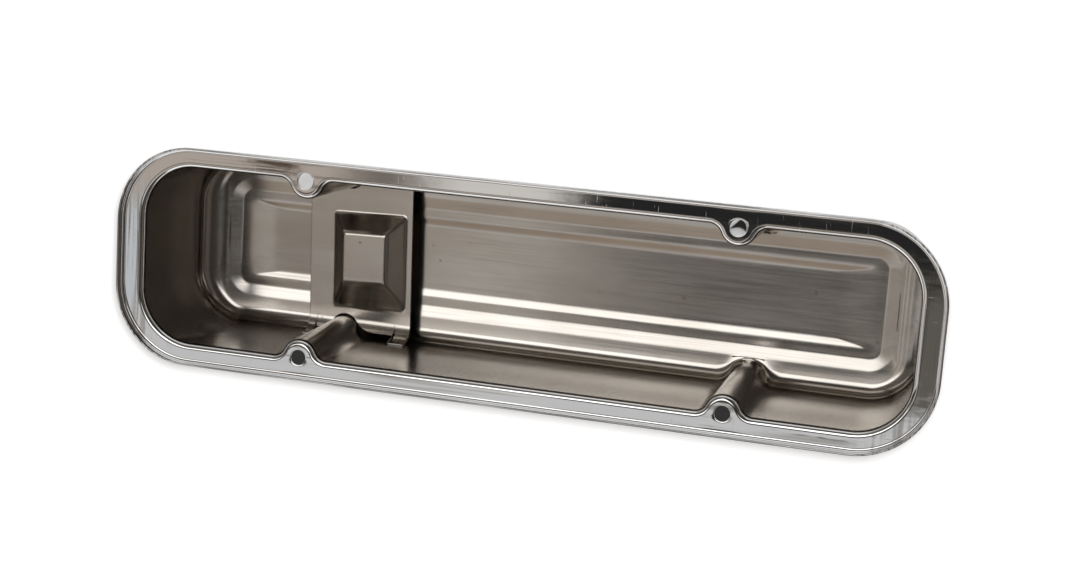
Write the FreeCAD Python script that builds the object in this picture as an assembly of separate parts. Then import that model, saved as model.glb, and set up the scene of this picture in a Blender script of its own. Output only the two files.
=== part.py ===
import FreeCAD, Part
import math
import os

# Engine valve cover lying on its roof with its open side up.
# Sizes are the finished sizes in millimetres, +Z points to the open side, X runs along the cover.

# Sheet metal
sheet = 1.0

# Flange seen from above, and the stiffening lip turned up round it
flange_length = 451.0
flange_width = 121.0
flange_corner_radius = 43.0
gasket_face_height = 82.0
lip_height = 4.5
lip_bend_radius = 1.8

# Bolt holes in the flange
hole_spacing_x = 234.7
hole_spacing_y = 97.0
hole_diameter = 8.4
hole_edge_lead = 0.35

# Drawn wall, measured on its inside face just under the bend to the flange
opening_length = 422.8
opening_width = 98.0
opening_corner_radius = 28.8
flange_bend_radius = 3.0
wall_draft = 0.2

# Bosses that stand into the cover under each bolt hole: under the flange, at the foot of the wall
# and where the roof begins. The nose share divides each wave between its nose and its two blends.
boss_reach = 10.3
boss_half_span = 15.5
boss_nose_share = 0.583
boss_reach_at_wall_foot = 11.3
boss_half_span_at_wall_foot = 17.0
boss_nose_share_at_wall_foot = 0.45
boss_reach_at_roof = 5.7
boss_half_span_at_roof = 20.0
boss_nose_share_at_roof = 0.5

# Roof: fillet, wider at the ends, nearly level ledge, ramp, raised pad, shallow inner panel
roof_fillet_radius = 8.0
ledge_slope = 3.5
ledge_length = 394.8
ledge_corner_radius = 13.5
ramp_run = 6.7
ramp_rise = 0.95
pad_length = 376.6
pad_width = 56.0
pad_corner_radius = 6.5
panel_length = 368.0
panel_width = 45.2
panel_corner_radius = 4.0
panel_step = 0.8
panel_side_run = 3.6
panel_end_run = 18.0

# Oil baffle
baffle_centre_x = -109.6
baffle_length = 61.8
baffle_height = 11.5
baffle_bend_radius = 9.5
baffle_leg_top = 24.5
baffle_turn = 1.7
baffle_notch_reach = 8.7
baffle_notch_half_span = 17.0
baffle_notch_nose_share = 0.39
baffle_trim_half_width = 45.2
baffle_right_tab = 9.3
baffle_left_tab = 5.0
dimple_centre_x = -103.9
dimple_centre_y = -4.35
dimple_length = 42.8
dimple_width = 54.3
dimple_corner_radius = 4.5
dimple_rise = 10.0
dimple_top_length = 25.8
dimple_top_width = 29.2
dimple_top_shift_y = 3.0
dimple_top_corner_radius = 1.6

# Outlines that step round the bends
flange_bend_steps = 3
roof_fillet_steps = 6

# Sizes that follow from the ones above
slope_angle = math.radians(ledge_slope)
ramp_angle = math.atan2(ramp_rise, ramp_run)
pad_floor = sheet + panel_step
ledge_inner_height = pad_floor + ramp_rise
wall_top_height = gasket_face_height - flange_bend_radius
draft_angle = math.atan2(wall_draft, wall_top_height - ledge_inner_height - roof_fillet_radius)
wall_foot_half_length = opening_length / 2 - wall_draft
wall_foot_half_width = opening_width / 2 - wall_draft
wall_foot_corner = opening_corner_radius - wall_draft
fillet_run = roof_fillet_radius * (math.cos(draft_angle) - math.sin(slope_angle))
fillet_end_run = wall_foot_half_length - ledge_length / 2
ledge_run = wall_foot_half_width - fillet_run - pad_width / 2 - ramp_run
ledge_outer_height = ledge_inner_height + ledge_run * math.tan(slope_angle)
fillet_centre_height = ledge_outer_height + roof_fillet_radius * math.cos(slope_angle)
wall_foot_height = fillet_centre_height - roof_fillet_radius * math.sin(draft_angle)
wall_lean = math.atan2(wall_draft, wall_top_height - wall_foot_height)
boss_x = hole_spacing_x / 2
turn_angle = math.radians(baffle_turn)
boss_at_flange = (boss_reach, boss_half_span, boss_nose_share)
boss_at_wall_foot = (
    boss_reach_at_wall_foot, boss_half_span_at_wall_foot, boss_nose_share_at_wall_foot)
boss_at_roof = (boss_reach_at_roof, boss_half_span_at_roof, boss_nose_share_at_roof)
baffle_notch = (baffle_notch_reach, baffle_notch_half_span, baffle_notch_nose_share)


def wave_radii(wave):
    """Nose and blend radius of a wave of this reach, half span and nose share, all arcs tangent."""
    reach, half_span, nose_share = wave
    total = (half_span ** 2 / reach + reach) / 2
    nose = total * nose_share
    return nose, total - nose


def mixed(first, second, share):
    """Value or values on the way from the first to the second."""
    if isinstance(first, tuple):
        return tuple(mixed(one, other, share) for one, other in zip(first, second))
    return first + (second - first) * share


def arc(start, middle, end):
    return Part.Arc(start, middle, end).toShape()


def line(start, end):
    return Part.makeLine(start, end)


def wave_edges(centre_x, side_y, wave, offset, z):
    """Blend, nose and blend arcs of one boss on the +Y wall, run from +X to -X.

    The wave is first laid out on the inside face and then moved out by offset.
    """
    reach, half_span, nose_share = wave
    nose, blend = wave_radii(wave)
    nose_y = side_y - reach + nose
    blend_y = side_y - blend
    lean = math.atan2(half_span, nose_y - blend_y)
    nose = nose - offset
    blend = blend + offset
    join_x = half_span - blend * math.sin(lean)
    join_y = blend_y + blend * math.cos(lean)
    top = FreeCAD.Vector(centre_x, nose_y - nose, z)
    right_foot = FreeCAD.Vector(centre_x + half_span, blend_y + blend, z)
    left_foot = FreeCAD.Vector(centre_x - half_span, blend_y + blend, z)
    right_join = FreeCAD.Vector(centre_x + join_x, join_y, z)
    left_join = FreeCAD.Vector(centre_x - join_x, join_y, z)
    half = lean / 2
    right_middle = FreeCAD.Vector(
        centre_x + half_span - blend * math.sin(half), blend_y + blend * math.cos(half), z)
    left_middle = FreeCAD.Vector(
        centre_x - half_span + blend * math.sin(half), blend_y + blend * math.cos(half), z)
    nose_right = FreeCAD.Vector(
        centre_x + nose * math.sin(half), nose_y - nose * math.cos(half), z)
    nose_left = FreeCAD.Vector(
        centre_x - nose * math.sin(half), nose_y - nose * math.cos(half), z)
    return [
        arc(right_foot, right_middle, right_join),
        arc(right_join, nose_right, top),
        arc(top, nose_left, left_join),
        arc(left_join, left_middle, left_foot),
    ]


def corner_edge(half_length, half_width, radius, z):
    """Corner arc of the +X +Y corner, run from +X to +Y."""
    centre_x = half_length - radius
    centre_y = half_width - radius
    diagonal = radius * math.sqrt(0.5)
    return arc(
        FreeCAD.Vector(half_length, centre_y, z),
        FreeCAD.Vector(centre_x + diagonal, centre_y + diagonal, z),
        FreeCAD.Vector(centre_x, half_width, z))


def turned(edges):
    """The same edges turned half a turn about the vertical axis."""
    result = []
    for edge in edges:
        copy = edge.copy()
        copy.rotate(FreeCAD.Vector(0, 0, 0), FreeCAD.Vector(0, 0, 1), 180)
        result.append(copy)
    return result


def cavity_outline(half_length, half_width, radius, boss, offset, z):
    """Closed outline of the drawn wall with its four bosses, moved out by offset."""
    half_span = boss[1]
    outer_length = half_length + offset
    outer_width = half_width + offset
    outer_radius = radius + offset
    corner_x = outer_length - outer_radius
    corner_y = outer_width - outer_radius
    right = boss_x + half_span
    inner = boss_x - half_span
    first_corner = corner_edge(outer_length, outer_width, outer_radius, z)
    second_corner = first_corner.mirror(FreeCAD.Vector(0, 0, 0), FreeCAD.Vector(1, 0, 0))
    half = [line(
        FreeCAD.Vector(outer_length, -corner_y, z),
        FreeCAD.Vector(outer_length, corner_y, z))]
    half.append(first_corner)
    half.append(line(
        FreeCAD.Vector(corner_x, outer_width, z),
        FreeCAD.Vector(right, outer_width, z)))
    half += wave_edges(boss_x, half_width, boss, offset, z)
    half.append(line(
        FreeCAD.Vector(inner, outer_width, z),
        FreeCAD.Vector(-inner, outer_width, z)))
    half += wave_edges(-boss_x, half_width, boss, offset, z)
    half.append(line(
        FreeCAD.Vector(-right, outer_width, z),
        FreeCAD.Vector(-corner_x, outer_width, z)))
    half.append(second_corner)
    return Part.Wire(Part.__sortEdges__(half + turned(half)))


def rounded_rectangle(length, width, radius, z, centre_x=0.0, centre_y=0.0):
    """Closed outline of a rectangle with round corners."""
    first = corner_edge(length / 2, width / 2, radius, z)
    second = first.mirror(FreeCAD.Vector(0, 0, 0), FreeCAD.Vector(1, 0, 0))
    corner_x = length / 2 - radius
    corner_y = width / 2 - radius
    half = [
        line(FreeCAD.Vector(length / 2, -corner_y, z), FreeCAD.Vector(length / 2, corner_y, z)),
        first,
        line(FreeCAD.Vector(corner_x, width / 2, z), FreeCAD.Vector(-corner_x, width / 2, z)),
        second,
    ]
    wire = Part.Wire(Part.__sortEdges__(half + turned(half)))
    wire.translate(FreeCAD.Vector(centre_x, centre_y, 0))
    return wire


def plate(wire, height):
    return Part.Face(wire).extrude(FreeCAD.Vector(0, 0, height))


def bend_levels(radius, offset):
    """Outlines of the bend from the wall up to the flange, on the face moved out by offset."""
    outlines = []
    for step in range(flange_bend_steps + 1):
        angle = math.pi / 2 * step / flange_bend_steps
        moved = offset + radius * (1 - math.cos(angle))
        height = wall_top_height + radius * math.sin(angle)
        outlines.append(cavity_outline(
            opening_length / 2, opening_width / 2, opening_corner_radius,
            boss_at_flange, moved, height))
    return outlines


def fillet_levels(offset):
    """Outlines of the roof fillet, on the face moved out by offset.

    The fillet is round across the cover and stretched to a longer run at the two ends.
    """
    outlines = []
    end_angle = math.pi / 2 - slope_angle
    for step in range(roof_fillet_steps + 1):
        angle = draft_angle + (end_angle - draft_angle) * step / roof_fillet_steps
        inset = roof_fillet_radius * (math.cos(draft_angle) - math.cos(angle))
        share = inset / fillet_run
        outlines.append(cavity_outline(
            wall_foot_half_length - fillet_end_run * share,
            wall_foot_half_width - inset,
            mixed(wall_foot_corner, ledge_corner_radius, share),
            mixed(boss_at_wall_foot, boss_at_roof, share),
            offset * math.cos(angle),
            fillet_centre_height - (roof_fillet_radius + offset) * math.sin(angle)))
    return outlines


def pad_outline(grow, z):
    """Edge of the pad grown on all sides, split at the same places as the outline of the wall."""
    half_length = pad_length / 2 + grow
    half_width = pad_width / 2 + grow
    radius = pad_corner_radius + grow
    corner_x = half_length - radius
    corner_y = half_width - radius
    span = boss_half_span_at_roof
    marks = [span, span / 2, 0.0, -span / 2, -span]
    stations = [corner_x]
    stations += [boss_x + mark for mark in marks]
    stations += [-boss_x + mark for mark in marks]
    stations.append(-corner_x)
    first_corner = corner_edge(half_length, half_width, radius, z)
    second_corner = first_corner.mirror(FreeCAD.Vector(0, 0, 0), FreeCAD.Vector(1, 0, 0))
    half = [line(
        FreeCAD.Vector(half_length, -corner_y, z),
        FreeCAD.Vector(half_length, corner_y, z))]
    half.append(first_corner)
    for start, end in zip(stations[:-1], stations[1:]):
        half.append(line(
            FreeCAD.Vector(start, half_width, z),
            FreeCAD.Vector(end, half_width, z)))
    half.append(second_corner)
    return Part.Wire(Part.__sortEdges__(half + turned(half)))


def mitre(offset, first_angle, second_angle):
    """Shift outward and down of a corner between two slopes when both move by offset."""
    out = math.sin(first_angle) + math.sin(second_angle)
    down = math.cos(first_angle) + math.cos(second_angle)
    scale = offset / (1 + math.cos(first_angle - second_angle))
    return out * scale, down * scale


def ramp_levels(offset):
    """Ramp from the ledge down to the raised pad, as two outlines."""
    out, down = mitre(offset, slope_angle, ramp_angle)
    ramp_top = pad_outline(ramp_run + out, ledge_inner_height - down)
    out, down = mitre(offset, ramp_angle, 0.0)
    pad_edge = pad_outline(out, pad_floor - down)
    return ramp_top, pad_edge


def panel_levels(offset):
    """Shallow inner panel of the pad, wide slopes at its ends and short ones at its sides."""
    side_out, down = mitre(offset, math.atan2(panel_step, panel_side_run), 0.0)
    end_out, down = mitre(offset, math.atan2(panel_step, panel_end_run), 0.0)
    length = panel_length + 2 * end_out
    width = panel_width + 2 * side_out
    edge = rounded_rectangle(length, width, panel_corner_radius, pad_floor - down)
    flat = rounded_rectangle(
        length - 2 * panel_end_run, width - 2 * panel_side_run,
        panel_corner_radius / 2, pad_floor - panel_step - down)
    return edge, flat


def drawn_body(offset):
    """Solid inside the drawn shape: offset 0 is the hollow, offset sheet is the outside."""
    bend = Part.makeLoft(bend_levels(flange_bend_radius - offset, offset), True, True)
    foot_levels = fillet_levels(offset)
    wall_top = cavity_outline(
        opening_length / 2, opening_width / 2, opening_corner_radius,
        boss_at_flange, offset, wall_top_height)
    wall = Part.makeLoft([foot_levels[0], wall_top], True, True)
    fillet = Part.makeLoft(foot_levels, True, True)
    ramp_top, pad_edge = ramp_levels(offset)
    ledge = Part.makeLoft([ramp_top, foot_levels[-1]], True, True)
    ramp = Part.makeLoft([pad_edge, ramp_top], True, True)
    panel_edge, panel_flat = panel_levels(offset)
    panel = Part.makeLoft([panel_flat, panel_edge], True, True)
    return bend.fuse([wall, fillet, ledge, ramp, panel])


def flange_tray():
    """Flange plate with its stiffening lip turned up along the outer edge."""
    outer_bend = lip_bend_radius + sheet
    floor = gasket_face_height - sheet
    block = plate(
        rounded_rectangle(flange_length, flange_width, flange_corner_radius, floor),
        sheet + lip_height)
    block = block.makeFillet(outer_bend, low_edges(block, floor))
    pocket = plate(
        rounded_rectangle(
            flange_length - 2 * sheet, flange_width - 2 * sheet,
            flange_corner_radius - sheet, gasket_face_height),
        sheet + lip_height)
    pocket = pocket.makeFillet(lip_bend_radius, low_edges(pocket, gasket_face_height))
    return block.cut(pocket)


def low_edges(solid, height):
    """Edges of a solid that lie wholly in the level plane at this height."""
    found = []
    for edge in solid.Edges:
        box = edge.BoundBox
        if abs(box.ZMin - height) < 0.001 and abs(box.ZMax - height) < 0.001:
            found.append(edge)
    return found


def bolt_hole_cutter():
    """Four through holes, each with a small lead at the gasket face."""
    cutters = []
    for side_x in (-1, 1):
        for side_y in (-1, 1):
            centre = FreeCAD.Vector(
                side_x * hole_spacing_x / 2, side_y * hole_spacing_y / 2,
                gasket_face_height - 3 * sheet)
            cutters.append(Part.makeCylinder(hole_diameter / 2, 6 * sheet, centre))
            lead_start = FreeCAD.Vector(centre.x, centre.y, gasket_face_height - hole_edge_lead)
            cutters.append(Part.makeCone(
                hole_diameter / 2, hole_diameter / 2 + 2 * hole_edge_lead,
                2 * hole_edge_lead, lead_start))
    return cutters[0].fuse(cutters[1:])


def mouth_cutter():
    """Mouth of the hollow through the flange plate: the bend, carried on upward."""
    levels = bend_levels(flange_bend_radius, 0.0)
    bend = Part.makeLoft(levels, True, True)
    return bend.fuse(plate(levels[-1], flange_bend_radius))


def cover_shell():
    """Stamped shell: lipped flange, drawn wall with four bosses, stepped roof."""
    flange = flange_tray().cut(mouth_cutter())
    drawn = drawn_body(sheet).cut(drawn_body(0.0))
    return flange.fuse(drawn).cut(bolt_hole_cutter())


def baffle_profile():
    """Bent section of the baffle across the cover, seen along X, as a closed face."""
    outer_radius = baffle_bend_radius + sheet
    centre_z = baffle_height + outer_radius
    wall_y = wall_foot_half_width + (centre_z - wall_foot_height) * math.tan(wall_lean)
    centre_y = wall_y - outer_radius / math.cos(wall_lean)
    along = FreeCAD.Vector(0, math.sin(wall_lean), math.cos(wall_lean))
    outward = FreeCAD.Vector(0, math.cos(wall_lean), -math.sin(wall_lean))
    centre = FreeCAD.Vector(0, centre_y, centre_z)
    diagonal = (outward + FreeCAD.Vector(0, 0, -1)).normalize()
    leg_length = (baffle_leg_top - centre_z + outer_radius * math.sin(wall_lean)) / along.z
    flat_under = centre + FreeCAD.Vector(0, 0, -outer_radius)
    flat_over = centre + FreeCAD.Vector(0, 0, -baffle_bend_radius)
    leg_outside = centre + outward * outer_radius
    leg_inside = centre + outward * baffle_bend_radius
    tip_outside = leg_outside + along * leg_length
    tip_inside = leg_inside + along * leg_length
    side = [
        arc(flat_under, centre + diagonal * outer_radius, leg_outside),
        line(leg_outside, tip_outside),
        line(tip_outside, tip_inside),
        line(tip_inside, leg_inside),
        arc(leg_inside, centre + diagonal * baffle_bend_radius, flat_over),
    ]
    other_side = []
    for edge in side:
        other_side.append(edge.mirror(FreeCAD.Vector(0, 0, 0), FreeCAD.Vector(0, 1, 0)))
    under = line(flat_under, FreeCAD.Vector(0, -flat_under.y, flat_under.z))
    over = line(flat_over, FreeCAD.Vector(0, -flat_over.y, flat_over.z))
    wire = Part.Wire(Part.__sortEdges__(side + other_side + [under, over]))
    return Part.Face(wire)


def baffle_side_cutter(side):
    """Tool that clears the boss on one long wall and shortens the leg between the two tabs.

    side is 1 for the +Y wall and -1 for the -Y wall. The tabs turn with the baffle, the bosses
    do not.
    """
    height = 3 * baffle_leg_top
    shift = -side * baffle_trim_half_width * math.tan(turn_angle)
    left = baffle_centre_x - baffle_length / 2 + baffle_left_tab + shift
    right = baffle_centre_x + baffle_length / 2 - baffle_right_tab + shift
    far_y = opening_width / 2
    wave = wave_edges(-boss_x, baffle_trim_half_width, baffle_notch, 0.0, 0.0)
    right_foot = FreeCAD.Vector(-boss_x + baffle_notch_half_span, baffle_trim_half_width, 0)
    left_foot = FreeCAD.Vector(-boss_x - baffle_notch_half_span, baffle_trim_half_width, 0)
    right_far = FreeCAD.Vector(right_foot.x, far_y, 0)
    left_far = FreeCAD.Vector(left_foot.x, far_y, 0)
    edges = wave + [
        line(left_foot, left_far),
        line(left_far, right_far),
        line(right_far, right_foot),
    ]
    boss_room = plate(Part.Wire(Part.__sortEdges__(edges)), height)
    trim = Part.makeBox(
        right - left, far_y - baffle_trim_half_width, height,
        FreeCAD.Vector(left, baffle_trim_half_width, 0))
    cutter = boss_room.fuse(trim)
    if side < 0:
        cutter = cutter.mirror(FreeCAD.Vector(0, 0, 0), FreeCAD.Vector(0, 1, 0))
    return cutter


def dimple_frustum(grow_x, grow_top, grow_bottom, floor):
    """Tapered block of the pressed dimple, turned with the baffle, its sides moved out."""
    width = dimple_width + grow_top + grow_bottom
    top_width = dimple_top_width + grow_top + grow_bottom
    shift = (grow_top - grow_bottom) / 2
    lower = rounded_rectangle(
        dimple_length + 2 * grow_x, width, dimple_corner_radius + grow_x,
        floor, dimple_centre_x, dimple_centre_y + shift)
    upper = rounded_rectangle(
        dimple_top_length + 2 * grow_x, top_width, dimple_top_corner_radius + grow_x,
        floor + dimple_rise, dimple_centre_x, dimple_centre_y + dimple_top_shift_y + shift)
    block = Part.makeLoft([lower, upper], True, True)
    centre = FreeCAD.Vector(dimple_centre_x, dimple_centre_y, 0)
    block.rotate(centre, FreeCAD.Vector(0, 0, 1), baffle_turn)
    return block


def baffle_blank():
    """Bent plate cut off at both ends on the slant at which the baffle sits between the walls."""
    length = baffle_length + 2 * baffle_leg_top
    body = baffle_profile().extrude(FreeCAD.Vector(length, 0, 0))
    body.translate(FreeCAD.Vector(baffle_centre_x - length / 2, 0, 0))
    room = Part.makeBox(
        baffle_length, 2 * opening_width, 2 * baffle_leg_top,
        FreeCAD.Vector(-baffle_length / 2, -opening_width, 0))
    room.rotate(FreeCAD.Vector(0, 0, 0), FreeCAD.Vector(0, 0, 1), baffle_turn)
    room.translate(FreeCAD.Vector(baffle_centre_x, 0, 0))
    return body.common(room)


def oil_baffle():
    """Bent baffle plate with a pressed dimple, notches for two bosses and four weld tabs."""
    body = baffle_blank().cut([baffle_side_cutter(1), baffle_side_cutter(-1)])
    side_run = (dimple_length - dimple_top_length) / 2
    end_room = (dimple_width - dimple_top_width) / 2
    far_run = end_room - dimple_top_shift_y
    near_run = end_room + dimple_top_shift_y
    plate_top = baffle_height + sheet
    raised = dimple_frustum(0, 0, 0, plate_top)
    side_move = sheet * math.tan(math.atan2(dimple_rise, side_run) / 2)
    far_move = sheet * math.tan(math.atan2(dimple_rise, far_run) / 2)
    near_move = sheet * math.tan(math.atan2(dimple_rise, near_run) / 2)
    hollow = dimple_frustum(-side_move, -far_move, -near_move, baffle_height)
    return body.fuse(raised).cut(hollow)


os.makedirs("parts", exist_ok=True)
cover_shell().exportStep("parts/cover_shell.step")
oil_baffle().exportStep("parts/oil_baffle.step")
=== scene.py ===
import math

import bpy
import numpy as np
from mathutils import Matrix, Vector


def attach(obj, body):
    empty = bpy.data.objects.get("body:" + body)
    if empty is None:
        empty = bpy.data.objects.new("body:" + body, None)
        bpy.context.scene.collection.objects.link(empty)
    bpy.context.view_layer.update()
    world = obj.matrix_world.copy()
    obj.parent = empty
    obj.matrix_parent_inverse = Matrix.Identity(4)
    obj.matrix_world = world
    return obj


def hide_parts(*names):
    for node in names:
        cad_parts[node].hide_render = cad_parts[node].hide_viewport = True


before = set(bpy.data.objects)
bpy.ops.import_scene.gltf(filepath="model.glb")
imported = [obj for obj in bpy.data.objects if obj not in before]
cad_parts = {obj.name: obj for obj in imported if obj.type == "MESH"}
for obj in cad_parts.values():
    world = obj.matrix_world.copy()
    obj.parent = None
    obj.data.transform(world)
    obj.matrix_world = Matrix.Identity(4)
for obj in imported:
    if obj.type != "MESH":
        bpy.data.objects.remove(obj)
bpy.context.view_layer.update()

# Cover shell
# One sheet of 1 mm steel, deep drawn: a flange with a turned-up lip, a wall with four bosses that
# make room for the bolts, and a stepped roof. The flange and the outside are plated bright.
# All sizes are in millimetres and become metres when the mesh is made.
sheet = 1.0
flange_half_length = 225.5
flange_half_width = 60.5
flange_corner = 43.0
gasket_face = 82.0
lip_top = 86.5
lip_bend = 1.8
rim_round = 0.28
mouth_bend = 3.0
wall_top = gasket_face - mouth_bend
wall_half_length = 211.4
wall_half_width = 49.0
wall_corner = 28.8
wall_draft = 0.2
boss_x = 117.35
boss_at_flange = (10.3, 15.5, 0.583)
boss_at_wall_foot = (11.3, 17.0, 0.45)
boss_at_roof = (5.7, 20.0, 0.5)
hole_y = 48.5
hole_radius = 4.2
hole_lead = 0.35
corner_steps = 26
end_steps = 8
wave_steps = 12
gap_steps = 3
middle_steps = 22


def arc_points(centre_x, centre_y, radius, start, end, steps):
    """Points centre + radius (cos a, sin a), a running from start towards end in even steps."""
    angle = np.linspace(start, end, steps, endpoint=False)
    return np.stack((centre_x + radius * np.cos(angle), centre_y + radius * np.sin(angle)), axis=1)


def line_points(start, end, steps):
    """Points start + t (end - start), t running from 0 towards 1 in even steps."""
    share = np.linspace(0.0, 1.0, steps, endpoint=False)[:, None]
    return np.asarray(start) + share * (np.asarray(end) - np.asarray(start))


def mixed(first, second, share):
    """Values on the way from the first set to the second."""
    return [one + (other - one) * share for one, other in zip(first, second)]


def wall_outline(half_length, half_width, corner, boss, grow):
    """Outline of the drawn wall with its four bosses, seen from above.

    A rounded rectangle. Each boss is a wave of three arcs tangent to each other: blend, nose,
    blend. Its nose stands in by reach and its feet lie at +-span. With
    total = (span^2 / reach + reach) / 2, the nose takes its share of total and the blends the rest.
    The whole outline is then moved out by grow.
    """
    reach, span, nose_share = boss
    corner_x = half_length - corner
    corner_y = half_width - corner
    total = (span ** 2 / reach + reach) / 2
    nose = total * nose_share
    blend = total - nose
    nose_y = half_width - reach + nose
    blend_y = half_width - blend
    lean = math.atan2(span, nose_y - blend_y)
    side_y = half_width + grow
    quarter = math.pi / 2
    parts = [
        line_points((half_length + grow, -corner_y), (half_length + grow, corner_y), end_steps),
        arc_points(corner_x, corner_y, corner + grow, 0.0, quarter, corner_steps),
        line_points((corner_x, side_y), (boss_x + span, side_y), gap_steps),
    ]
    for centre, after, steps in (
            (boss_x, -boss_x + span, middle_steps), (-boss_x, -corner_x, gap_steps)):
        parts += [
            arc_points(centre + span, blend_y, blend + grow, quarter, quarter + lean, wave_steps),
            arc_points(centre, nose_y, nose - grow, lean - quarter, -quarter, wave_steps),
            arc_points(centre, nose_y, nose - grow, -quarter, -lean - quarter, wave_steps),
            arc_points(centre - span, blend_y, blend + grow, quarter - lean, quarter, wave_steps),
            line_points((centre - span, side_y), (after, side_y), steps),
        ]
    parts.append(arc_points(-corner_x, corner_y, corner + grow, quarter, 2 * quarter, corner_steps))
    half = np.concatenate(parts)
    return np.concatenate((half, -half))


side_start = end_steps + corner_steps
side_count = 2 * gap_steps + middle_steps + 8 * wave_steps
mouth = (wall_half_length, wall_half_width, wall_corner, boss_at_flange)
mouth_outline = wall_outline(*mouth, 0.0)
side_share = mouth_outline[side_start:side_start + side_count, 0] / (wall_half_length - wall_corner)


def plain_outline(half_length, half_width, corner):
    """Rounded rectangle with one point for each point of the wall's outline."""
    corner_x = half_length - corner
    corner_y = half_width - corner
    quarter = math.pi / 2
    side = np.stack((side_share * corner_x, np.full(side_count, half_width)), axis=1)
    half = np.concatenate((
        line_points((half_length, -corner_y), (half_length, corner_y), end_steps),
        arc_points(corner_x, corner_y, corner, 0.0, quarter, corner_steps),
        side,
        arc_points(-corner_x, corner_y, corner, quarter, 2 * quarter, corner_steps)))
    return np.concatenate((half, -half))


def flange_outline(inset):
    """Outline of the flange and its lip, moved in by inset."""
    return plain_outline(flange_half_length - inset, flange_half_width - inset, flange_corner - inset)


def raised(outline, height):
    """Flat loop of points at one height."""
    return np.column_stack((outline, np.full(len(outline), height)))


def between(first, last, shares):
    """Loops first + t (last - first), one for each share t."""
    return [first + share * (last - first) for share in shares]


def rounded(before, corner, after, run, steps):
    """Loops round a bend: the curve (1-t)^2 A + 2t(1-t) B + t^2 C at each point of the loops.

    B is the sharp corner, and A and C lie run away from it on the two slopes.
    """
    into = before - corner
    out = after - corner
    start = corner + into * (run / np.linalg.norm(into, axis=1))[:, None]
    end = corner + out * (run / np.linalg.norm(out, axis=1))[:, None]
    loops = []
    for share in np.linspace(0.0, 1.0, steps + 1):
        loops.append((1 - share) ** 2 * start + 2 * share * (1 - share) * corner + share ** 2 * end)
    return loops


# Inner face of the sheet, loop by loop from the lip's rim down to the middle of the roof
flat_shares = (0.05, 0.35, 0.65, 0.95)
inner_loops = []
lip_foot = gasket_face + lip_bend
inner_loops += between(
    raised(flange_outline(sheet), lip_top - rim_round),
    raised(flange_outline(sheet), lip_foot),
    (0.0, 0.3, 0.7, 1.0))
for angle in np.linspace(0.0, math.pi / 2, 9)[1:]:
    inner_loops.append(raised(
        flange_outline(sheet + lip_bend * (1 - math.cos(angle))),
        lip_foot - lip_bend * math.sin(angle)))
flat_outer = inner_loops[-1]
flat_inner = raised(wall_outline(*mouth, mouth_bend), gasket_face)
flat_first = len(inner_loops)
inner_loops += between(flat_outer, flat_inner, flat_shares)
flat_last = len(inner_loops) - 1
for angle in np.linspace(math.pi / 2, 0.0, 11):
    inner_loops.append(raised(
        wall_outline(*mouth, mouth_bend * (1 - math.cos(angle))),
        wall_top + mouth_bend * math.sin(angle)))

# Fillet to the roof, round across the cover and stretched to a longer run at the ends
fillet_radius = 8.0
ledge_slope = math.radians(3.5)
ledge_half_length = 197.4
ledge_corner = 13.5
ledge_inner_height = 2.75
ramp_run = 6.7
pad_half_length = 188.3
pad_half_width = 28.0
pad_corner = 6.5
pad_height = 1.8
panel_half_length = 184.0
panel_half_width = 22.6
panel_corner = 4.0
panel_end_run = 18.0
panel_side_run = 3.6
panel_height = 1.0
wall_foot = [size - wall_draft for size in mouth[:3]]
draft_angle = math.atan2(wall_draft, wall_top - ledge_inner_height - fillet_radius)
fillet_run = fillet_radius * (math.cos(draft_angle) - math.sin(ledge_slope))
ledge = [ledge_half_length, wall_foot[1] - fillet_run, ledge_corner]
fillet_centre = (
    ledge_inner_height + (ledge[1] - pad_half_width - ramp_run) * math.tan(ledge_slope)
    + fillet_radius * math.cos(ledge_slope))
fillet_loops = []
for angle in np.linspace(draft_angle, math.pi / 2 - ledge_slope, 19):
    share = fillet_radius * (math.cos(draft_angle) - math.cos(angle)) / fillet_run
    fillet_loops.append(raised(
        wall_outline(
            *mixed(wall_foot, ledge, share), mixed(boss_at_wall_foot, boss_at_roof, share), 0.0),
        fillet_centre - fillet_radius * math.sin(angle)))
inner_loops += between(
    inner_loops[-1], fillet_loops[0], np.append(0.008, np.linspace(0.0, 1.0, 12)[1:-1]))
inner_loops += fillet_loops

# Roof: nearly level ledge, ramp down to the pad, and a shallow inner panel that fades out lengthwise
ramp_top = raised(
    plain_outline(pad_half_length + ramp_run, pad_half_width + ramp_run, pad_corner + ramp_run),
    ledge_inner_height)
pad_edge = raised(plain_outline(pad_half_length, pad_half_width, pad_corner), pad_height)
panel_edge = raised(plain_outline(panel_half_length, panel_half_width, panel_corner), pad_height)
panel_flat = raised(
    plain_outline(panel_half_length - panel_end_run, panel_half_width - panel_side_run, 2.0),
    panel_height)
panel_middle = raised(plain_outline(140.0, 8.5, 1.0), panel_height)
panel_run = np.minimum(
    0.33 * np.linalg.norm(panel_flat - panel_edge, axis=1),
    0.7 * np.linalg.norm(panel_edge - pad_edge, axis=1))
inner_loops += between(fillet_loops[-1], ramp_top, (0.08, 0.3, 0.55, 0.8))
inner_loops += rounded(fillet_loops[-1], ramp_top, pad_edge, 0.8, 4)
inner_loops += between(ramp_top, pad_edge, (0.3, 0.5, 0.7))
inner_loops += rounded(ramp_top, pad_edge, panel_edge, 0.8, 4)
inner_loops += rounded(pad_edge, panel_edge, panel_flat, panel_run, 5)
inner_loops += between(panel_edge, panel_flat, (0.45, 0.55))
inner_loops += rounded(panel_edge, panel_flat, panel_middle, 1.3 * panel_run, 5)
inner_loops.append(panel_flat + 0.4 * (panel_middle - panel_flat))
inner_grid = np.array(inner_loops)


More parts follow.
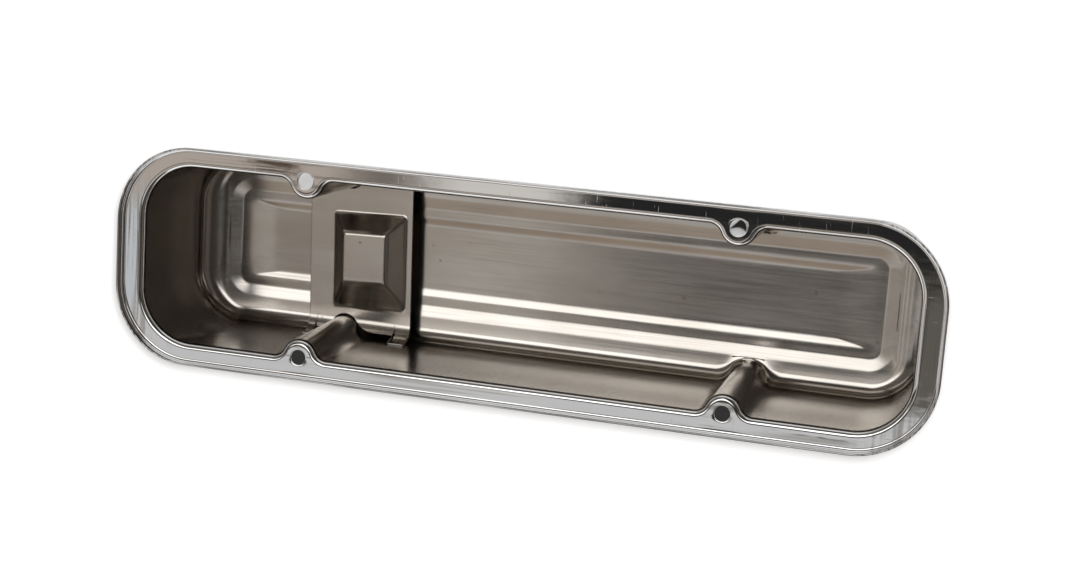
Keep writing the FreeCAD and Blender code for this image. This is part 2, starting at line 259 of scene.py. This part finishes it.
def sheet_normals(grid):
    """Unit normals of a grid of loops: cross product of its direction around and its direction in."""
    around = np.roll(grid, -1, axis=1) - np.roll(grid, 1, axis=1)
    inward = np.gradient(grid, axis=0)
    normal = np.cross(around, inward)
    return normal / np.linalg.norm(normal, axis=2)[:, :, None]


# Sheared rim of the lip, from its outer side over to its inner side
rim_loops = []
for angle in np.linspace(0.0, math.pi / 2, 4)[1:]:
    rim_loops.append(raised(
        flange_outline(rim_round * (1 - math.cos(angle))),
        lip_top - rim_round + rim_round * math.sin(angle)))
for angle in np.linspace(math.pi / 2, 0.0, 4)[:-1]:
    rim_loops.append(raised(
        flange_outline(sheet - rim_round * (1 - math.cos(angle))),
        lip_top - rim_round + rim_round * math.sin(angle)))

# The whole skin as one grid: outside from the roof up, over the rim, then down the inside
outer_grid = inner_grid - sheet * sheet_normals(inner_grid)
skin = np.concatenate((outer_grid[::-1], np.array(rim_loops), inner_grid))
skin_levels, around_count = skin.shape[:2]
inner_first = skin_levels - len(inner_grid)
skin_ids = np.arange(skin_levels * around_count).reshape(skin_levels, around_count)


def quads(ids, closed=True):
    """Quads between neighbouring rows of a grid of vertex numbers, the rows closed or open."""
    right = np.roll(ids, -1, axis=1)
    if not closed:
        ids, right = ids[:, :-1], right[:, :-1]
    return np.stack((ids[:-1], right[:-1], right[1:], ids[1:]), axis=2)


def hole_patch(points, first_new, inner_edge, outer_edge, centre):
    """Flange round one bolt hole: rings from the patch's edge in to the hole, through it and out.

    A ring on the flat is edge + t (circle - edge). Each circle point lies in the direction of its
    edge point from the hole's centre.
    """
    edge = points[inner_edge]
    direction = edge[:, :2] - centre
    direction /= np.linalg.norm(direction, axis=1)[:, None]
    under = gasket_face - sheet
    lead_out = hole_radius + hole_lead
    rows = []
    for share in (0.45, 0.85):
        flat = edge[:, :2] + share * (centre + direction * lead_out - edge[:, :2])
        rows.append(raised(flat, gasket_face))
    for radius, height in (
            (lead_out, gasket_face),
            (hole_radius + 0.3 * hole_lead, gasket_face - 0.3 * hole_lead),
            (hole_radius, gasket_face - hole_lead),
            (hole_radius, under + 0.2),
            (hole_radius + 0.06, under + 0.06),
            (hole_radius + 0.2, under)):
        rows.append(raised(centre + direction * radius, height))
    for share in (0.85, 0.45):
        flat = edge[:, :2] + share * (centre + direction * lead_out - edge[:, :2])
        rows.append(raised(flat, under))
    new_ids = first_new + np.arange(len(rows) * len(edge)).reshape(len(rows), len(edge))
    ids = np.concatenate((inner_edge[None], new_ids, outer_edge[None]))
    return np.concatenate(rows), quads(ids).reshape(-1, 4)


skin_quads = quads(skin_ids)
points = skin.reshape(-1, 3)
patch_quads = []
patch_reach = wave_steps + 8
half_count = around_count // 2
boss_index = side_start + gap_steps + 2 * wave_steps
boss_indices = [boss_index, boss_index + 4 * wave_steps + middle_steps]
boss_indices += [index + half_count for index in boss_indices]
for index, centre in zip(boss_indices, (
        (boss_x, hole_y), (-boss_x, hole_y), (-boss_x, -hole_y), (boss_x, -hole_y))):
    low, high = index - patch_reach, index + patch_reach
    edges = []
    for top, bottom in (
            (inner_first + flat_first, inner_first + flat_last),
            (len(inner_grid) - 1 - flat_first, len(inner_grid) - 1 - flat_last)):
        step = 1 if bottom > top else -1
        edges.append(np.concatenate((
            skin_ids[top, low:high],
            skin_ids[top:bottom:step, high],
            skin_ids[bottom, high:low:-1],
            skin_ids[bottom:top:-step, low])))
        rows = slice(min(top, bottom), max(top, bottom))
        skin_quads[rows, low:high] = -1
    more_points, more_quads = hole_patch(points, len(points), edges[0], edges[1], centre)
    points = np.concatenate((points, more_points))
    patch_quads.append(more_quads)
skin_quads = skin_quads.reshape(-1, 4)
skin_quads = skin_quads[skin_quads[:, 0] >= 0]


def roof_cap(loop):
    """Faces that close the flat roof inside its last loop: strips across, one polygon per end."""
    top = loop[end_steps:half_count + 1]
    bottom = np.append(loop, loop[0])[half_count + end_steps:][::-1]
    strips = np.stack((bottom[1:-2], top[1:-2], top[2:-1], bottom[2:-1]), axis=1)
    right_end = list(loop[:end_steps + 2]) + [loop[-1]]
    left_end = list(loop[half_count:half_count + end_steps + 2]) + [loop[half_count - 1]]
    return [list(face) for face in strips] + [right_end, left_end]


faces = np.concatenate([skin_quads] + patch_quads).tolist()
faces += roof_cap(skin_ids[-1])
faces += [face[::-1] for face in roof_cap(skin_ids[0])]


def new_piece(name, points, faces, marks):
    """Object from points in millimetres and faces, with one float per point for each named mark."""
    used = np.unique(np.concatenate([np.asarray(face) for face in faces]))
    renumber = np.zeros(len(points), dtype=int)
    renumber[used] = np.arange(len(used))
    mesh = bpy.data.meshes.new(name)
    mesh.from_pydata(points[used] * 0.001, [], [renumber[face].tolist() for face in faces])
    for mark, values in marks.items():
        layer = mesh.attributes.new(mark, "FLOAT", "POINT")
        layer.data.foreach_set("value", values[used].astype(np.float32))
    mesh.polygons.foreach_set("use_smooth", [True] * len(mesh.polygons))
    mesh.update()
    piece = bpy.data.objects.new(name, mesh)
    bpy.context.scene.collection.objects.link(piece)
    return piece


# Marks on the skin, level by level: how deep inside the drawn hollow, how near the sheared rim, and
# the two thin dark lines along the mouth's bend, which are a painted reflection
mouth_first = inner_first + flat_last + 1
mouth_last = mouth_first + 10
depth_by_level = np.clip((np.arange(skin_levels) - mouth_first - 3) / 6.0, 0.0, 1.0)
rim_by_level = np.zeros(skin_levels)
rim_by_level[len(inner_grid):inner_first] = 1.0
# Painted reflection: two thin dark lines along the mouth's bend
painted_reflection_by_level = np.zeros(skin_levels)
painted_reflection_by_level[mouth_first] = 0.8
painted_reflection_by_level[mouth_last - 2:mouth_last + 1] = 1.0
shell_marks = {}
for mark, by_level in (("depth", depth_by_level), ("rim", rim_by_level), ("painted_bend_reflection", painted_reflection_by_level)):
    shell_marks[mark] = np.zeros(len(points))
    shell_marks[mark][:skin_levels * around_count] = np.repeat(by_level, around_count)
shell = new_piece("valve_cover_shell", points, faces, shell_marks)
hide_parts("cover_shell")
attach(shell, "root")


def add_node(tree, kind, inputs=None, **settings):
    """New node with its settings and the values or links of its inputs."""
    node = tree.nodes.new(kind)
    for name, value in settings.items():
        setattr(node, name, value)
    for name, value in (inputs or {}).items():
        socket = node.inputs[name]
        if isinstance(value, bpy.types.NodeSocket):
            tree.links.new(value, socket)
        else:
            socket.default_value = value
    return node


def math_node(tree, operation, first, second=0.0):
    return add_node(tree, "ShaderNodeMath", {0: first, 1: second}, operation=operation).outputs[0]


def vector_node(tree, operation, first, second=(0.0, 0.0, 0.0)):
    return add_node(tree, "ShaderNodeVectorMath", {0: first, 1: second}, operation=operation)


def fade(tree, value, start, end, low=0.0, high=1.0):
    """Smooth change from low to high as the value goes from start to end."""
    return add_node(tree, "ShaderNodeMapRange", {
        "Value": value, "From Min": start, "From Max": end, "To Min": low, "To Max": high},
        interpolation_type="SMOOTHSTEP").outputs["Result"]


def mixed_color(tree, share, first, second):
    return add_node(tree, "ShaderNodeMix", {"Factor": share, "A": first, "B": second},
                    data_type="RGBA").outputs["Result"]


def mixed_value(tree, share, first, second):
    return add_node(tree, "ShaderNodeMix", {"Factor": share, "A": first, "B": second}).outputs["Result"]


def new_group(name, inputs, outputs):
    """Empty node group with named inputs and outputs, and its own input and output nodes."""
    group = bpy.data.node_groups.new(name, "ShaderNodeTree")
    for socket, kind in inputs:
        group.interface.new_socket(socket, in_out="INPUT", socket_type=kind)
    for socket in outputs:
        group.interface.new_socket(socket, in_out="OUTPUT", socket_type="NodeSocketFloat")
    return group, group.nodes.new("NodeGroupInput"), group.nodes.new("NodeGroupOutput")


def stretched_noise(tree, place, scale, detail):
    """Noise whose grain is drawn out along the directions with the small scales."""
    vector = vector_node(tree, "MULTIPLY", place, scale).outputs[0]
    return add_node(tree, "ShaderNodeTexNoise", {
        "Vector": vector, "Scale": 1.0, "Detail": detail}).outputs["Fac"]


# Grain of the plate, used by both pieces. Lines are fine and run along the cover, or across it
# where Ends is 1. Streaks are broader, ticks are short marks across the lines, and spots are specks.
grain, grain_in, grain_out = new_group(
    "plate_grain", [("Place", "NodeSocketVector"), ("Ends", "NodeSocketFloat")],
    ["Lines", "Streaks", "Ticks", "Patches", "Spots"])
place, ends = grain_in.outputs["Place"], grain_in.outputs["Ends"]
for output, along_scale, over_scale, detail in (
        ("Lines", 14.0, 900.0, 3.0), ("Streaks", 9.0, 230.0, 2.0), ("Ticks", 1100.0, 70.0, 2.0)):
    along_x = stretched_noise(grain, place, (along_scale, over_scale, over_scale), detail)
    along_y = stretched_noise(grain, place, (over_scale, along_scale, over_scale), detail)
    value = mixed_value(grain, ends, along_x, along_y)
    if output == "Ticks":
        value = fade(grain, value, 0.66, 0.76)
    grain.links.new(value, grain_out.inputs[output])
patches = stretched_noise(grain, place, (16.0, 34.0, 34.0), 4.0)
grain.links.new(patches, grain_out.inputs["Patches"])
cells = add_node(grain, "ShaderNodeTexVoronoi", {"Vector": place, "Scale": 110.0})
speck = fade(grain, cells.outputs["Distance"], 0.13, 0.07)
chosen = fade(grain, stretched_noise(grain, place, (37.0, 37.0, 37.0), 1.0), 0.55, 0.62)
grain.links.new(math_node(grain, "MULTIPLY", speck, chosen), grain_out.inputs["Spots"])


def bumped(tree, heights):
    """Normal raised by several height maps, each with its own height in metres."""
    normal = None
    for height, distance in heights:
        inputs = {"Height": height, "Distance": distance, "Strength": 1.0}
        if normal:
            inputs["Normal"] = normal
        normal = add_node(tree, "ShaderNodeBump", inputs).outputs["Normal"]
    return normal


def new_material(name):
    material = bpy.data.materials.new(name)
    material.use_nodes = True
    material.node_tree.nodes.clear()
    return material, material.node_tree


def mark_of(tree, name):
    return add_node(tree, "ShaderNodeAttribute", attribute_name=name).outputs["Fac"]


# Bright chrome on the flange and outside. Inside, where the plate is thin, the satin metal under it
# shows warmer and keeps the lengthwise grain of the rolled sheet, and the drawn walls are duller.
chrome, tree = new_material("chrome_plate")
object_place = add_node(tree, "ShaderNodeTexCoord").outputs["Object"]
split = add_node(tree, "ShaderNodeSeparateXYZ", {"Vector": object_place})
inside = mark_of(tree, "depth")
at_ends = fade(tree, math_node(tree, "ABSOLUTE", split.outputs["X"]), 0.180, 0.205)
bright_ends = math_node(tree, "MULTIPLY", at_ends, math_node(tree, "SUBTRACT", 1.0, inside))
marks = add_node(tree, "ShaderNodeGroup", node_tree=grain)
tree.links.new(object_place, marks.inputs["Place"])
tree.links.new(bright_ends, marks.inputs["Ends"])
lines, streaks, ticks = (marks.outputs[name] for name in ("Lines", "Streaks", "Ticks"))
satin = mixed_color(tree, fade(tree, marks.outputs["Patches"], 0.35, 0.7),
                    (0.62, 0.585, 0.545, 1), (0.56, 0.52, 0.475, 1))
satin = mixed_color(tree, fade(tree, lines, 0.45, 0.75, 0.0, 0.22), satin, (0.40, 0.36, 0.32, 1))
satin = mixed_color(tree, marks.outputs["Spots"], satin, (0.42, 0.37, 0.32, 1))
on_flange = fade(tree, split.outputs["Z"], 0.0795, 0.0815, 0.15, 1.0)
streak_mark = math_node(tree, "MULTIPLY", fade(tree, streaks, 0.54, 0.70, 0.0, 0.7), on_flange)
bright = mixed_color(tree, streak_mark, (0.82, 0.82, 0.82, 1), (0.50, 0.47, 0.44, 1))
bright = mixed_color(tree, math_node(tree, "MULTIPLY", ticks, 0.5), bright, (0.95, 0.95, 0.95, 1))
rim_mark = mark_of(tree, "rim")
bright = mixed_color(tree, math_node(tree, "MULTIPLY", rim_mark, fade(tree, lines, 0.4, 0.6)),
                     bright, (0.30, 0.29, 0.28, 1))
color = mixed_color(tree, inside, bright, satin)
# Painted reflection: the two thin dark lines along the mouth's bend, coloured near black
painted_reflection_line = math_node(tree, "MULTIPLY", mark_of(tree, "painted_bend_reflection"), 0.85)
color = mixed_color(tree, painted_reflection_line, color, (0.05, 0.05, 0.05, 1))
satin_rough = fade(tree, lines, 0.3, 0.8, 0.15, 0.20)
bright_rough = fade(tree, streaks, 0.45, 0.75, 0.03, 0.09)
bright_rough = mixed_value(tree, math_node(tree, "MULTIPLY", ticks, 0.5), bright_rough, 0.4)
on_walls = fade(tree, split.outputs["Z"], 0.010, 0.030, 0.0, 0.06)
satin_rough = math_node(tree, "ADD", satin_rough, on_walls)
rough = mixed_value(tree, inside, bright_rough, satin_rough)
rough = mixed_value(tree, rim_mark, rough, 0.30)
normal = bumped(tree, (
    (math_node(tree, "MULTIPLY", lines, inside), 0.000004),
    (math_node(tree, "MULTIPLY", math_node(tree, "MULTIPLY", streaks, on_flange),
               math_node(tree, "SUBTRACT", 1.0, inside)), 0.000045),
    (marks.outputs["Patches"], 0.00010)))
shader = add_node(tree, "ShaderNodeBsdfPrincipled", {
    "Metallic": 1.0, "Base Color": color, "Roughness": rough, "Normal": normal})
add_node(tree, "ShaderNodeOutputMaterial", {"Surface": shader.outputs["BSDF"]})
shell.data.materials.append(chrome)


# Oil baffle
# One folded plate of the same sheet, spot-welded by four tabs to the long walls. Its ends curl up
# to the walls, two notches clear the bosses, and a dimple pressed towards the rockers stiffens it.
baffle_left = -140.5
baffle_right = -78.7
baffle_top = 12.5
baffle_bend = 9.5
baffle_leg_top = 24.5
baffle_turn = math.radians(1.7)
left_tab_end = -135.5
right_tab_start = -88.0
trim_half_width = 45.2
notch = (8.7, 17.0, 0.39)
dimple_centre = (-103.9, -4.35)
dimple_half_length = 21.4
dimple_half_width = 27.15
dimple_rise = 10.0
dimple_side_run = 8.5
dimple_near_run = 15.55
dimple_far_run = 9.55
foot_height = fillet_loops[0][0, 2]
wall_lean = math.atan2(wall_draft, wall_top - foot_height)
bend_centre_z = baffle_top + baffle_bend
bend_centre_y = (
    wall_foot[1] + (bend_centre_z - foot_height) * math.tan(wall_lean)
    - (baffle_bend + sheet) / math.cos(wall_lean))
bend_turn = math.pi / 2 - wall_lean
bend_length = baffle_bend * bend_turn


def bent_section(run):
    """Distance from the middle and height of the plate's upper face at a path length.

    Flat as far as the bend, round the bend with the angle a = run / radius, then straight up the
    wall.
    """
    away = np.abs(run)
    turn = np.clip((away - bend_centre_y) / baffle_bend, 0.0, bend_turn)
    leg = np.maximum(away - bend_centre_y - bend_length, 0.0)
    flat = np.minimum(away, bend_centre_y)
    side = flat + baffle_bend * np.sin(turn) + leg * np.cos(turn)
    height = bend_centre_z - baffle_bend * np.cos(turn) + leg * np.sin(turn)
    return np.sign(run) * side, height


def run_to_width(half_width):
    """Path length at which the bent plate reaches a distance from the middle."""
    turn = np.arcsin(np.clip((half_width - bend_centre_y) / baffle_bend, 0.0, 1.0))
    return np.minimum(half_width, bend_centre_y) + baffle_bend * turn


def edge_run(x, side):
    """Path length at which the plate ends: on the wall in the tabs, else at the trim or the notch.

    x runs along the turned plate. The notch lies over the boss, so it is found where the edge of
    the plate has come to by its turn. side is 1 or -1 for the two long walls.
    """
    reach, span, nose_share = notch
    total = (span ** 2 / reach + reach) / 2
    nose = total * nose_share
    blend = total - nose
    nose_y = trim_half_width - reach + nose
    blend_y = trim_half_width - blend
    lean = math.atan2(span, nose_y - blend_y)
    edge_y = np.full(x.shape, trim_half_width)
    for _ in range(3):
        away = np.abs(x - side * edge_y * math.tan(baffle_turn) + boss_x)
        on_nose = nose_y - np.sqrt(np.maximum(nose ** 2 - away ** 2, 0.0))
        on_blend = blend_y + np.sqrt(np.maximum(blend ** 2 - (span - away) ** 2, 0.0))
        edge_y = np.where(away < nose * math.sin(lean), on_nose, on_blend)
        edge_y = np.where(away < span, edge_y, trim_half_width)
    trimmed = run_to_width(edge_y)
    full = bend_centre_y + bend_length + (
        (baffle_leg_top - bend_centre_z - baffle_bend * math.sin(wall_lean)) / math.cos(wall_lean))
    tab = np.maximum(
        np.clip((left_tab_end - x) / 0.2 + 0.5, 0.0, 1.0),
        np.clip((x - right_tab_start) / 0.2 + 0.5, 0.0, 1.0))
    return trimmed + (full - trimmed) * tab


def soft_min(first, second, width):
    """The smaller of two ramps a and b, with a round corner where they are nearer than width w.

    There it is min(a, b) - (w - |a - b|)^2 / (4 w).
    """
    near = np.maximum(width - np.abs(first - second), 0.0) / width
    return np.minimum(first, second) - near ** 2 * width / 4


def dimple_height(x, y):
    """Pressed block: the least of four side ramps and the flat top, with rounded edges.

    The block is turned with the plate, so the ramps are taken along its own two directions.
    """
    away_x = x - dimple_centre[0]
    away_y = y - dimple_centre[1]
    along = away_x * math.cos(baffle_turn) + away_y * math.sin(baffle_turn)
    over = away_y * math.cos(baffle_turn) - away_x * math.sin(baffle_turn)
    side = (dimple_half_length - np.abs(along)) / dimple_side_run
    end = np.minimum(
        (over + dimple_half_width) / dimple_near_run, (dimple_half_width - over) / dimple_far_run)
    width = 0.26 - 0.14 * np.clip(np.minimum(side, end), 0.0, 1.0)
    ramp = soft_min(side, end, width)
    ramp = soft_min(ramp, 1.0, 0.16)
    return dimple_rise * -soft_min(-ramp, 0.0, 0.12)


plate_edge = 0.14
plate_x = np.concatenate((
    [baffle_left + plate_edge, baffle_left + 0.35],
    np.arange(baffle_left + 0.8, left_tab_end - 0.3, 0.6),
    left_tab_end + np.array([-0.25, -0.1, 0.1, 0.25]),
    np.arange(left_tab_end + 0.7, right_tab_start - 0.3, 0.55),
    right_tab_start + np.array([-0.25, -0.1, 0.1, 0.25]),
    np.arange(right_tab_start + 0.7, baffle_right - 0.5, 0.55),
    [baffle_right - 0.35, baffle_right - plate_edge]))
inner_run = 36.0
inner_shares = np.linspace(-1.0, 1.0, 141)[:, None]
end_shares = np.append(np.linspace(0.0, 1.0, 26)[1:] * 0.985, 1.0)[:, None]
far_end = edge_run(plate_x, 1) - plate_edge
near_end = edge_run(plate_x, -1) - plate_edge
slant = (plate_x - dimple_centre[0]) * math.tan(baffle_turn)
plate_run = np.concatenate((
    -inner_run - end_shares[::-1] * (near_end - inner_run),
    inner_shares * inner_run + slant * (1 - inner_shares ** 20),
    inner_run + end_shares * (far_end - inner_run)))
plate_y, plate_z = bent_section(plate_run)
turned_x = plate_x - plate_y * math.tan(baffle_turn)
plate_z = plate_z + dimple_height(turned_x, plate_y)
plate = np.stack((turned_x, plate_y, plate_z), axis=2)
along = np.gradient(plate, axis=1)
across = np.gradient(plate, axis=0)
plate_normal = np.cross(along, across)
plate_normal /= np.linalg.norm(plate_normal, axis=2)[:, :, None]
under_plate = plate - sheet * plate_normal


def rim_of(grid):
    """Points or numbers round the border of a grid, once round."""
    return np.concatenate((grid[0, :-1], grid[:-1, -1], grid[-1, :0:-1], grid[:0:-1, 0]))


border = rim_of(plate)
border_normal = rim_of(plate_normal)
border_tangent = np.roll(border, -1, axis=0) - np.roll(border, 1, axis=0)
border_out = np.cross(border_tangent, border_normal)
border_out /= np.linalg.norm(border_out, axis=1)[:, None]
cut_top = border + plate_edge * (border_out - border_normal)
cut_low = border + plate_edge * border_out - (sheet - plate_edge) * border_normal
plate_ids = np.arange(plate_x.size * len(plate)).reshape(plate.shape[:2])
plate_count = plate_ids.size
border_count = len(border)
cut_ids = 2 * plate_count + np.arange(2 * border_count).reshape(2, border_count)
cut_rows = np.stack((rim_of(plate_ids), cut_ids[0], cut_ids[1], rim_of(plate_ids) + plate_count))
plate_quads = quads(plate_ids, closed=False).reshape(-1, 4)
baffle_faces = np.concatenate((
    plate_quads, plate_quads[:, ::-1] + plate_count, quads(cut_rows).reshape(-1, 4)[:, ::-1]))
baffle_points = np.concatenate((
    plate.reshape(-1, 3), under_plate.reshape(-1, 3), cut_top, cut_low))
cut_mark = np.zeros(len(baffle_points))
cut_mark[2 * plate_count:] = 1.0
baffle = new_piece("oil_baffle_plate", baffle_points, baffle_faces.tolist(), {"rim": cut_mark})
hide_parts("oil_baffle")
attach(baffle, "root")

# Satin plate with the grain of the sheet along the cover and a bare, brighter cut edge
satin_plate, tree = new_material("satin_plate")
object_place = add_node(tree, "ShaderNodeTexCoord").outputs["Object"]
marks = add_node(tree, "ShaderNodeGroup", node_tree=grain)
tree.links.new(object_place, marks.inputs["Place"])
lines = marks.outputs["Lines"]
color = mixed_color(tree, fade(tree, marks.outputs["Patches"], 0.35, 0.7),
                    (0.60, 0.56, 0.515, 1), (0.53, 0.485, 0.44, 1))
color = mixed_color(tree, fade(tree, lines, 0.50, 0.75, 0.0, 0.2), color, (0.40, 0.36, 0.32, 1))
color = mixed_color(tree, marks.outputs["Spots"], color, (0.42, 0.37, 0.32, 1))
cut_edge = mark_of(tree, "rim")
color = mixed_color(tree, cut_edge, color, (0.45, 0.43, 0.41, 1))
rough = mixed_value(tree, cut_edge, fade(tree, lines, 0.3, 0.8, 0.19, 0.24), 0.35)
normal = bumped(tree, ((lines, 0.000006), (marks.outputs["Patches"], 0.00008)))
shader = add_node(tree, "ShaderNodeBsdfPrincipled", {
    "Metallic": 1.0, "Base Color": color, "Roughness": rough, "Normal": normal})
add_node(tree, "ShaderNodeOutputMaterial", {"Surface": shader.outputs["BSDF"]})
baffle.data.materials.append(satin_plate)


# Floor
# A matt white table top, seen as pure white away from the cover. The cover lies on it without being
# fixed, and round it a soft shade is painted into the floor's colour, reaching further to the left and
# to the near side.
floor_height = -0.0001
floor_mesh = bpy.data.meshes.new("floor")
floor_mesh.from_pydata(
    [(x, y, floor_height) for x, y in ((-4, -4), (4, -4), (4, 4), (-4, 4))], [], [(0, 1, 2, 3)])
floor = bpy.data.objects.new("floor", floor_mesh)
bpy.context.scene.collection.objects.link(floor)
floor_paint, tree = new_material("floor_paint")
place = add_node(tree, "ShaderNodeTexCoord").outputs["Object"]

# Painted shade, by the distance from a flat box under the cover
shade_centre = (-0.026, -0.0195, 0)
shade_half_size = (0.199, 0.0185, 0.01)
from_centre = vector_node(tree, "SUBTRACT", place, shade_centre).outputs[0]
away = vector_node(tree, "ABSOLUTE", from_centre).outputs[0]
past_box = vector_node(tree, "SUBTRACT", away, shade_half_size).outputs[0]
past_box = vector_node(tree, "MAXIMUM", past_box).outputs[0]
distance = vector_node(tree, "LENGTH", past_box).outputs["Value"]
shade = fade(tree, distance, 0.036, 0.054, 1.0, 0.0)

# Painted shade under the flange at the far right bolt hole, through which the table shows
hole_shade_centre = (0.105, 0.040, 0)
from_hole = vector_node(tree, "SUBTRACT", place, hole_shade_centre).outputs[0]
hole_split = add_node(tree, "ShaderNodeSeparateXYZ", {
    "Vector": vector_node(tree, "ABSOLUTE", from_hole).outputs[0]})
under_hole = math_node(
    tree, "MULTIPLY", fade(tree, hole_split.outputs["X"], 0.060, 0.090, 1.0, 0.0),
    fade(tree, hole_split.outputs["Y"], 0.006, 0.0075, 1.0, 0.0))
shade = math_node(tree, "MAXIMUM", shade, under_hole)

# The white is lifted for the eye, and a little in the metal, by its own colour and not by more light
floor_white = (0.95, 0.95, 0.95, 1)
shade_black = (0.03, 0.03, 0.03, 1)
lift_seen = 0.8
lift_mirrored = 0.25
# The painted shade darkens the floor's own colour towards near black
floor_color = mixed_color(tree, shade, floor_white, shade_black)
matt = add_node(tree, "ShaderNodeBsdfDiffuse", {"Color": floor_color})
path = add_node(tree, "ShaderNodeLightPath")
seen = math_node(tree, "MULTIPLY", path.outputs["Is Camera Ray"], lift_seen)
mirrored = math_node(tree, "MULTIPLY", path.outputs["Is Glossy Ray"], lift_mirrored)
lift = math_node(tree, "MAXIMUM", seen, mirrored)
glow = add_node(tree, "ShaderNodeEmission", {"Color": floor_color, "Strength": lift})
both = add_node(tree, "ShaderNodeAddShader", {0: matt.outputs[0], 1: glow.outputs[0]})
add_node(tree, "ShaderNodeOutputMaterial", {"Surface": both.outputs[0]})
floor_mesh.materials.append(floor_paint)


# Light
# A dim studio, seen mostly in the metal. lean_x and lean_y tell how far a direction leans from
# straight up along each axis, so each point of a level face shows its own small part of this sky.
world = bpy.data.worlds.new("studio")
bpy.context.scene.world = world
world.use_nodes = True
tree = world.node_tree
tree.nodes.clear()
direction = add_node(tree, "ShaderNodeSeparateXYZ", {
    "Vector": add_node(tree, "ShaderNodeTexCoord").outputs["Generated"]})
elevation = direction.outputs["Z"]
height = math_node(tree, "MAXIMUM", elevation, 0.02)
lean_x = math_node(tree, "DIVIDE", direction.outputs["X"], height)
lean_y = math_node(tree, "DIVIDE", direction.outputs["Y"], height)


def along(start, end):
    """Mask that fades in while a direction's lean along the cover goes from start to end."""
    return fade(tree, lean_x, start, end)


def across(start, end):
    """Mask that fades in while a direction's lean across the cover goes from start to end."""
    return fade(tree, lean_y, start, end)


def laid_over(sky, color, *masks):
    """Sky with a colour laid over it where all the masks are 1."""
    share = masks[0]
    for mask in masks[1:]:
        share = math_node(tree, "MULTIPLY", share, mask)
    return mixed_color(tree, share, sky, (*color, 1))


# The far half of the room: black, then brown, a pale board, and tan and dark walls to the left of it
black_corner = (0.02, 0.02, 0.02, 1)
brown_wall = (0.12, 0.11, 0.095)
pale_board = (0.66, 0.63, 0.59)
dim_wall = (0.19, 0.165, 0.14)
tan_wall = (0.46, 0.40, 0.35)
dark_wall = (0.04, 0.035, 0.03)
dark_gap = (0.07, 0.05, 0.035)
blue_blind = (0.56, 0.58, 0.60)
sky = laid_over(black_corner, brown_wall, across(-0.16, -0.185))
sky = laid_over(sky, pale_board, along(-0.23, -0.27))
sky = laid_over(sky, dim_wall, along(-0.31, -0.36))
sky = laid_over(sky, tan_wall, along(-0.36, -0.40), across(-0.19, -0.16))
sky = laid_over(sky, dark_wall, along(-0.58, -0.70))
sky = laid_over(sky, dark_gap, along(-0.445, -0.435), along(-0.405, -0.415), across(-0.150, -0.1475))
sky = laid_over(sky, blue_blind, along(-0.49, -0.515), along(-0.62, -0.54), across(-0.16, -0.19))

# The near part overhead: a grey screen, tan and brown below it, white lower down, dark to the right
grey_screen = (0.60, 0.60, 0.60)
tan_edge = (0.40, 0.34, 0.285)
brown_edge = (0.16, 0.14, 0.12)
white_sill = (1.2, 1.2, 1.2)
dark_right = (0.05, 0.045, 0.04)
sky = laid_over(sky, grey_screen, across(-0.235, -0.255))
sky = laid_over(sky, tan_edge, across(-0.32, -0.45))
sky = laid_over(sky, brown_edge, across(-0.7, -0.95))
sky = laid_over(sky, white_sill, across(-1.25, -1.4))
sky = laid_over(sky, dark_right, along(0.0, 0.12))

# The window, which the near wall of the cover shows, in a dark front wall. Its sides slant.
front_wall = (0.04, 0.036, 0.032, 1)
front_left = (0.13, 0.118, 0.105)
window = (1.9, 1.9, 1.88)
above_window = (0.3, 0.3, 0.3)
right_wall = (0.12, 0.106, 0.092)
right_side = math_node(tree, "ADD", lean_x, math_node(tree, "MULTIPLY", lean_y, 0.5))
left_side = math_node(tree, "SUBTRACT", lean_x, math_node(tree, "MULTIPLY", lean_y, 0.9))
front = laid_over(front_wall, front_left, along(-0.1, -0.3))
front = laid_over(
    front, window, fade(tree, left_side, -0.71, -0.64), fade(tree, right_side, 0.24, 0.08),
    across(0.62, 0.48))
sky = mixed_color(tree, across(-0.06, 0.02), sky, front)
sky = laid_over(sky, above_window, across(1.2, 1.6))
sky = laid_over(sky, right_wall, along(0.6, 0.9), along(2.2, 1.6))

# Light low round the horizon: wide in front and behind, narrow all round
low_light = (0.9, 0.9, 0.9)
lowest_light = (1.0, 1.0, 1.0)
sideways = math_node(tree, "ABSOLUTE", direction.outputs["X"])
sky = laid_over(sky, low_light, fade(tree, elevation, 0.42, 0.32), fade(tree, sideways, 0.6, 0.3))
sky = laid_over(sky, lowest_light, fade(tree, elevation, 0.15, 0.11))
background = add_node(tree, "ShaderNodeBackground", {"Color": sky, "Strength": 1.0})
add_node(tree, "ShaderNodeOutputWorld", {"Surface": background.outputs["Background"]})

# One soft lamp for the table. It isn't seen in the plate, which shows the studio alone.
key = bpy.data.lights.new("key_light", "AREA")
key.shape = "RECTANGLE"
key.size, key.size_y = 0.8, 0.8
key.energy = 8.0
key_lamp = bpy.data.objects.new("key_light", key)
key_lamp.location = (0.5, 1.2, 1.6)
key_lamp.rotation_euler = Vector(key_lamp.location).to_track_quat("Z", "Y").to_euler()
key_lamp.visible_glossy = False
bpy.context.scene.collection.objects.link(key_lamp)


# Camera
# Above the right end and the far side, as fitted to the flange's outline and the four bolt holes
camera_data = bpy.data.cameras.new("camera")
camera_data.sensor_width = 36.0
camera_data.lens = 63.259
camera_data.clip_start = 0.05
camera = bpy.data.objects.new("camera", camera_data)
camera_place = Vector((0.26521, 0.19372, 1.02268))
camera_axes = Matrix((
    (0.96120, 0.06650, -0.26771),
    (-0.11383, 0.97964, -0.16538),
    (0.25126, 0.18943, 0.94920)))
camera.matrix_world = Matrix.Translation(camera_place) @ camera_axes.transposed().to_4x4()
bpy.context.scene.collection.objects.link(camera)
bpy.context.scene.camera = camera
bpy.context.scene.view_settings.view_transform = "Standard"
